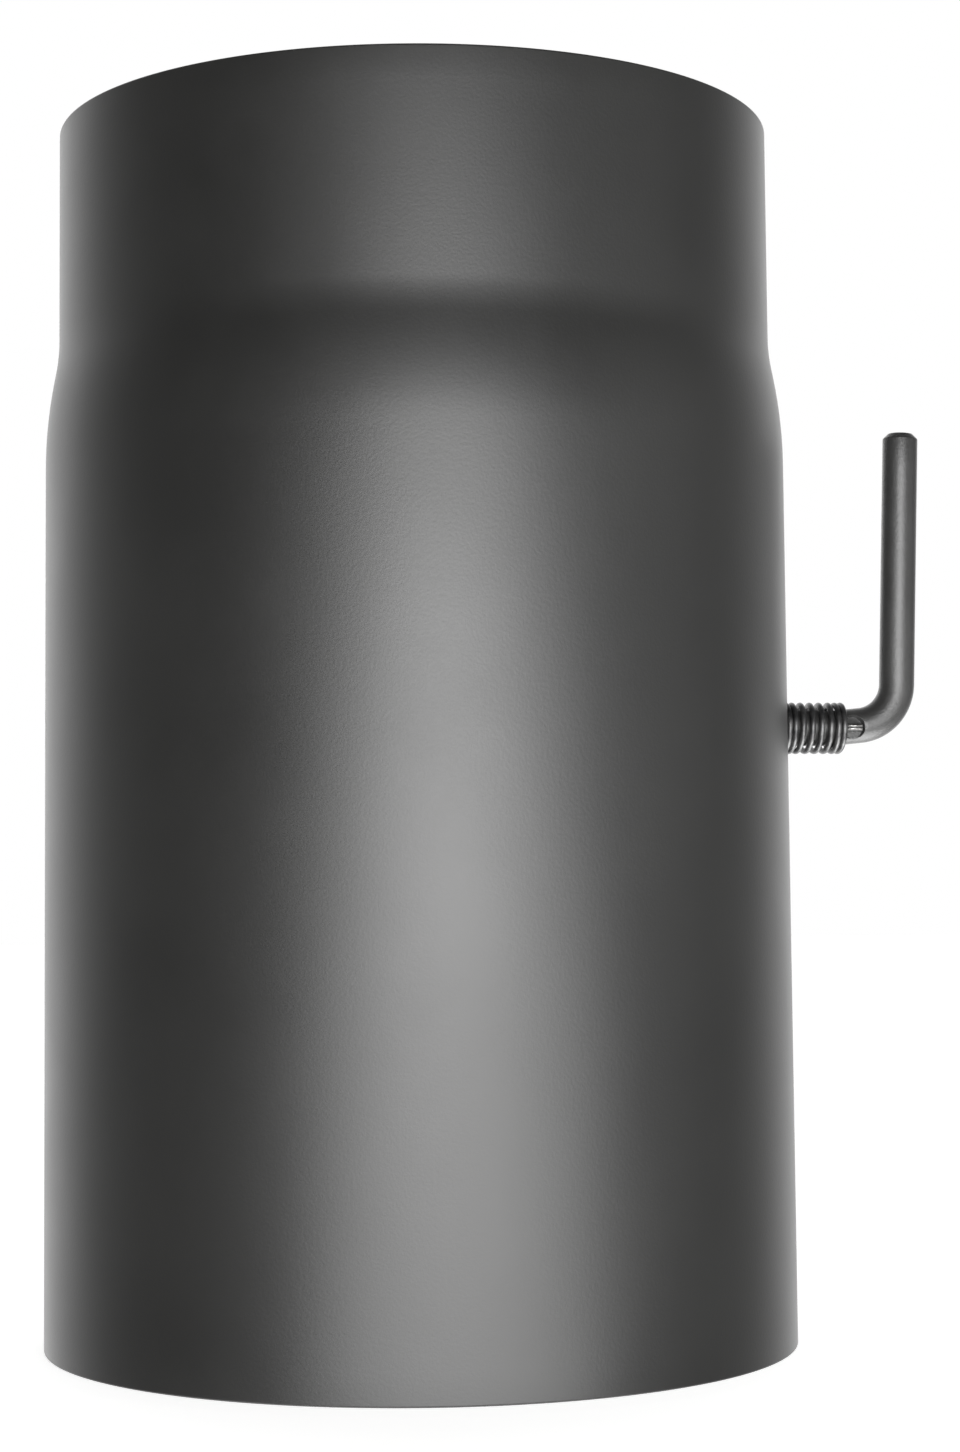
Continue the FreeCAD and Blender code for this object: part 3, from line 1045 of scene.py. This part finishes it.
def rivetTree():
    tree, given, result = startTree("rivetPair", {
        "Half Spacing": "Float", "Head Radius": "Float", "Head Segments": "Int", "Head Rings": "Int",
        "Shank Radius": "Float", "Shank Sides": "Int", "Dome Height": "Float",
        "Top": "Float", "Bottom": "Float", "Axle Height": "Float", "Finish": "Material",
    })
    rivet = addNode(tree, "GeometryNodeJoinGeometry")
    for end, sign in ((given["Top"], -1.0), (given["Bottom"], 1.0)):
        dome = addNode(tree, "GeometryNodeMeshUVSphere")
        feed(tree, dome.inputs["Segments"], given["Head Segments"])
        feed(tree, dome.inputs["Rings"], given["Head Rings"])
        size = addNode(tree, "ShaderNodeCombineXYZ")
        feed(tree, size.inputs["X"], given["Head Radius"])
        feed(tree, size.inputs["Y"], given["Dome Height"])
        feed(tree, size.inputs["Z"], given["Head Radius"])
        place = addNode(tree, "ShaderNodeCombineXYZ")
        feed(tree, place.inputs["Y"], plus(tree, end, times(tree, given["Dome Height"], sign)))
        head = addNode(tree, "GeometryNodeTransform")
        feed(tree, head.inputs["Geometry"], dome.outputs["Mesh"])
        feed(tree, head.inputs["Scale"], size.outputs[0])
        feed(tree, head.inputs["Translation"], place.outputs[0])
        feed(tree, rivet.inputs[0], head.outputs[0])
    shank = addNode(tree, "GeometryNodeMeshCylinder")
    feed(tree, shank.inputs["Vertices"], given["Shank Sides"])
    feed(tree, shank.inputs["Radius"], given["Shank Radius"])
    span = minus(tree, given["Top"], given["Bottom"])
    feed(tree, shank.inputs["Depth"], minus(tree, span, given["Dome Height"]))
    across = addNode(tree, "GeometryNodeTransform")
    feed(tree, across.inputs["Geometry"], shank.outputs["Mesh"])
    middle = addNode(tree, "ShaderNodeCombineXYZ")
    feed(tree, middle.inputs["Y"], times(tree, plus(tree, given["Top"], given["Bottom"]), 0.5))
    feed(tree, across.inputs["Translation"], middle.outputs[0])
    across.inputs["Rotation"].default_value = (math.pi / 2, 0.0, 0.0)
    feed(tree, rivet.inputs[0], across.outputs[0])
    spots = addNode(tree, "GeometryNodeMeshLine", mode="END_POINTS")
    spots.inputs["Count"].default_value = 2
    for label, sign in (("Start Location", -1.0), ("Offset", 1.0)):
        spot = addNode(tree, "ShaderNodeCombineXYZ")
        feed(tree, spot.inputs["X"], times(tree, given["Half Spacing"], sign))
        feed(tree, spot.inputs["Z"], given["Axle Height"])
        feed(tree, spots.inputs[label], spot.outputs[0])
    pair = addNode(tree, "GeometryNodeInstanceOnPoints")
    feed(tree, pair.inputs["Points"], spots.outputs["Mesh"])
    feed(tree, pair.inputs["Instance"], rivet.outputs[0])
    endTree(tree, pair.outputs[0], result, given["Finish"])
    return tree


def makeRivets(s):
    piece = growPiece("plate_rivets_skin", rivetTree(), {
        "Half Spacing": s["halfSpacing"], "Head Radius": s["headRadius"],
        "Head Segments": s["headSegments"], "Head Rings": s["headRings"],
        "Shank Radius": s["shankRadius"], "Shank Sides": s["shankSides"],
        "Dome Height": s["domeHeight"], "Top": s["top"], "Bottom": s["bottom"],
        "Axle Height": axle.z, "Finish": rivetFinish(rivetSteel),
    }, bpy.data.meshes.new("rivetStart"))
    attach(piece, "damper")
    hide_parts("plate_rivets")
    return piece


rivets = makeRivets(plateRivets)
print("rivets made:", len(rivets.data.polygons), "faces")


# studio: a pale floor, a white surround, soft lights and the camera

paleFloor = {
    "half": 4.0,
    "dark": (0.80, 0.80, 0.79),
    "light": (0.83, 0.83, 0.82),
    "rough": 0.9,
    "glow": 0.74,
    "grainScale": 300.0,
    "cloudScale": 3.0,
}


def makeFloor(s):
    size = s["half"]
    corners = [(-size, -size, 0), (size, -size, 0), (size, size, 0), (-size, size, 0)]
    finish, tree, shader, place = startFinish("paleFloor")
    grain = useGrain(tree, place, s)
    feed(tree, shader.inputs["Base Color"], tint(tree, grain["Cloud"], s["dark"], s["light"]))
    shader.inputs["Roughness"].default_value = s["rough"]
    shader.inputs["Emission Color"].default_value = (1.0, 1.0, 1.0, 1.0)
    shader.inputs["Emission Strength"].default_value = s["glow"]
    floor = meshPiece("studio_floor", corners, [(0, 1, 2, 3)], finish)
    floor.visible_glossy = False  # the surround shows in the paint instead
    floor.visible_shadow = False  # light from below its level shines past it


# whites by direction: each pair is where a white starts and where it is full

surround = {
    "backWhite": 1.9,
    "backFade": (0.40, 1.0),
    "backLean": 0.08,  # turns the white a little to the handle's side
    "sideWhite": 0.22,
    "sideFade": (-0.30, 0.60),
    "lowWhite": 1.8,
    "lowFade": (-0.40, -0.90),
    "frontFade": (-0.75, -0.25),  # keeps the low white out of the front
}


def makeSurround(s):
    world = bpy.data.worlds.new("studioSurround")
    bpy.context.scene.world = world
    world.use_nodes = True
    tree = world.node_tree
    tree.nodes.clear()
    way = addNode(tree, "ShaderNodeSeparateXYZ")
    feed(tree, way.inputs[0], addNode(tree, "ShaderNodeTexCoord").outputs["Generated"])
    lean = plus(tree, way.outputs["Y"], times(tree, way.outputs["X"], s["backLean"]))
    behind = spread(tree, lean, *s["backFade"], 0.0, s["backWhite"])
    sides = spread(tree, lean, *s["sideFade"], 0.0, s["sideWhite"])
    # white straight below shows under the bar and hardly in the pipe's front
    none, full = s["lowFade"]
    under = spread(tree, way.outputs["Z"], full, none, s["lowWhite"], 0.0)
    below = times(tree, under, spread(tree, way.outputs["Y"], *s["frontFade"], 0.0, 1.0))
    light = addNode(tree, "ShaderNodeBackground")
    light.inputs["Color"].default_value = (1.0, 1.0, 1.0, 1.0)
    feed(tree, light.inputs["Strength"], reckon(tree, "MAXIMUM", plus(tree, behind, sides), below))
    # the camera itself sees plain white
    seen = addNode(tree, "ShaderNodeBackground")
    seen.inputs["Color"].default_value = (1.0, 1.0, 1.0, 1.0)
    pick = addNode(tree, "ShaderNodeMixShader")
    feed(tree, pick.inputs[0], addNode(tree, "ShaderNodeLightPath").outputs["Is Camera Ray"])
    feed(tree, pick.inputs[1], light.outputs[0])
    feed(tree, pick.inputs[2], seen.outputs[0])
    result = addNode(tree, "ShaderNodeOutputWorld")
    feed(tree, result.inputs["Surface"], pick.outputs[0])


pipeFront = (-0.01, -0.07, 0.09)  # the lights look here unless they have an aim of their own

softLights = {
    "keyLight": {"place": (-0.002, -0.591, 0.16), "wide": 0.46, "high": 0.24, "power": 1.25},
    "haloLight": {"place": (0.015, -0.591, -0.02), "wide": 1.00, "high": 0.56, "power": 4.9},
    "fillLight": {"place": (1.04, -0.50, 0.25), "wide": 0.8, "high": 0.8, "power": 0.75},
    # these reach the handle alone: one keeps its upper end light, one is a white card under it
    "leverLight": {"place": (0.03, -0.591, 0.31), "wide": 0.56, "high": 0.12, "power": 0.65, "only": (bar,)},
    "cardLight": {"place": (0.135, -0.035, 0.004), "aim": (0.135, -0.035, 1.004),
                  "wide": 0.13, "high": 0.19, "power": 0.27, "only": (bar, spring)},
}

boreLight = {
    "height": 1.5,
    "angle": 5.6,  # degrees, so that the beam falls inside the neck
    "blend": 0.4,
    "softness": 0.02,
    "power": 110.0,
}


def placeLight(lamp, place):
    holder = bpy.data.objects.new(lamp.name, lamp)
    holder.location = place
    holder.visible_camera = False
    bpy.context.scene.collection.objects.link(holder)
    return holder


def addSoftLight(name, s):
    lamp = bpy.data.lights.new(name, "AREA")
    lamp.shape = "ELLIPSE"
    lamp.size = s["wide"]
    lamp.size_y = s["high"]
    lamp.energy = s["power"]
    holder = placeLight(lamp, s["place"])
    look = Vector(s.get("aim", pipeFront)) - Vector(s["place"])
    holder.rotation_euler = look.to_track_quat("-Z", "Y").to_euler()
    if "only" in s:
        lit = bpy.data.collections.new(name + "Reach")
        for piece in s["only"]:
            lit.objects.link(piece)
        holder.light_linking.receiver_collection = lit


def addBoreLight(s):
    # shines straight down the flue, so that the plate shows from above
    lamp = bpy.data.lights.new("boreLight", "SPOT")
    lamp.spot_size = math.radians(s["angle"])
    lamp.spot_blend = s["blend"]
    lamp.shadow_soft_size = s["softness"]
    lamp.energy = s["power"]
    placeLight(lamp, (0.0, 0.0, s["height"]))


# placed and aimed as the photograph was taken: below the axle, the handle pointing 8 degrees away

photoView = {
    "place": (-0.08273, -0.58815, 0.09386),
    "pitch": 0.0747,
    "yaw": 0.1557,
    "roll": -0.0087,
    "lens": 70.47,
    "sensor": 36.0,
    "shiftX": 0.01244,
    "shiftY": -0.03897,
}


def makeCamera(s):
    data = bpy.data.cameras.new("photoCamera")
    data.lens = s["lens"]
    data.sensor_width = s["sensor"]
    data.shift_x = s["shiftX"]
    data.shift_y = s["shiftY"]
    camera = bpy.data.objects.new("photoCamera", data)
    turn = Matrix.Rotation(-s["yaw"], 4, "Z") @ Matrix.Rotation(math.pi / 2 + s["pitch"], 4, "X")
    camera.matrix_world = Matrix.Translation(s["place"]) @ turn @ Matrix.Rotation(s["roll"], 4, "Z")
    bpy.context.scene.collection.objects.link(camera)
    bpy.context.scene.camera = camera


makeFloor(paleFloor)
makeSurround(surround)
for name, values in softLights.items():
    addSoftLight(name, values)
addBoreLight(boreLight)
makeCamera(photoView)
bpy.context.scene.view_settings.view_transform = "Standard"
print("studio set")
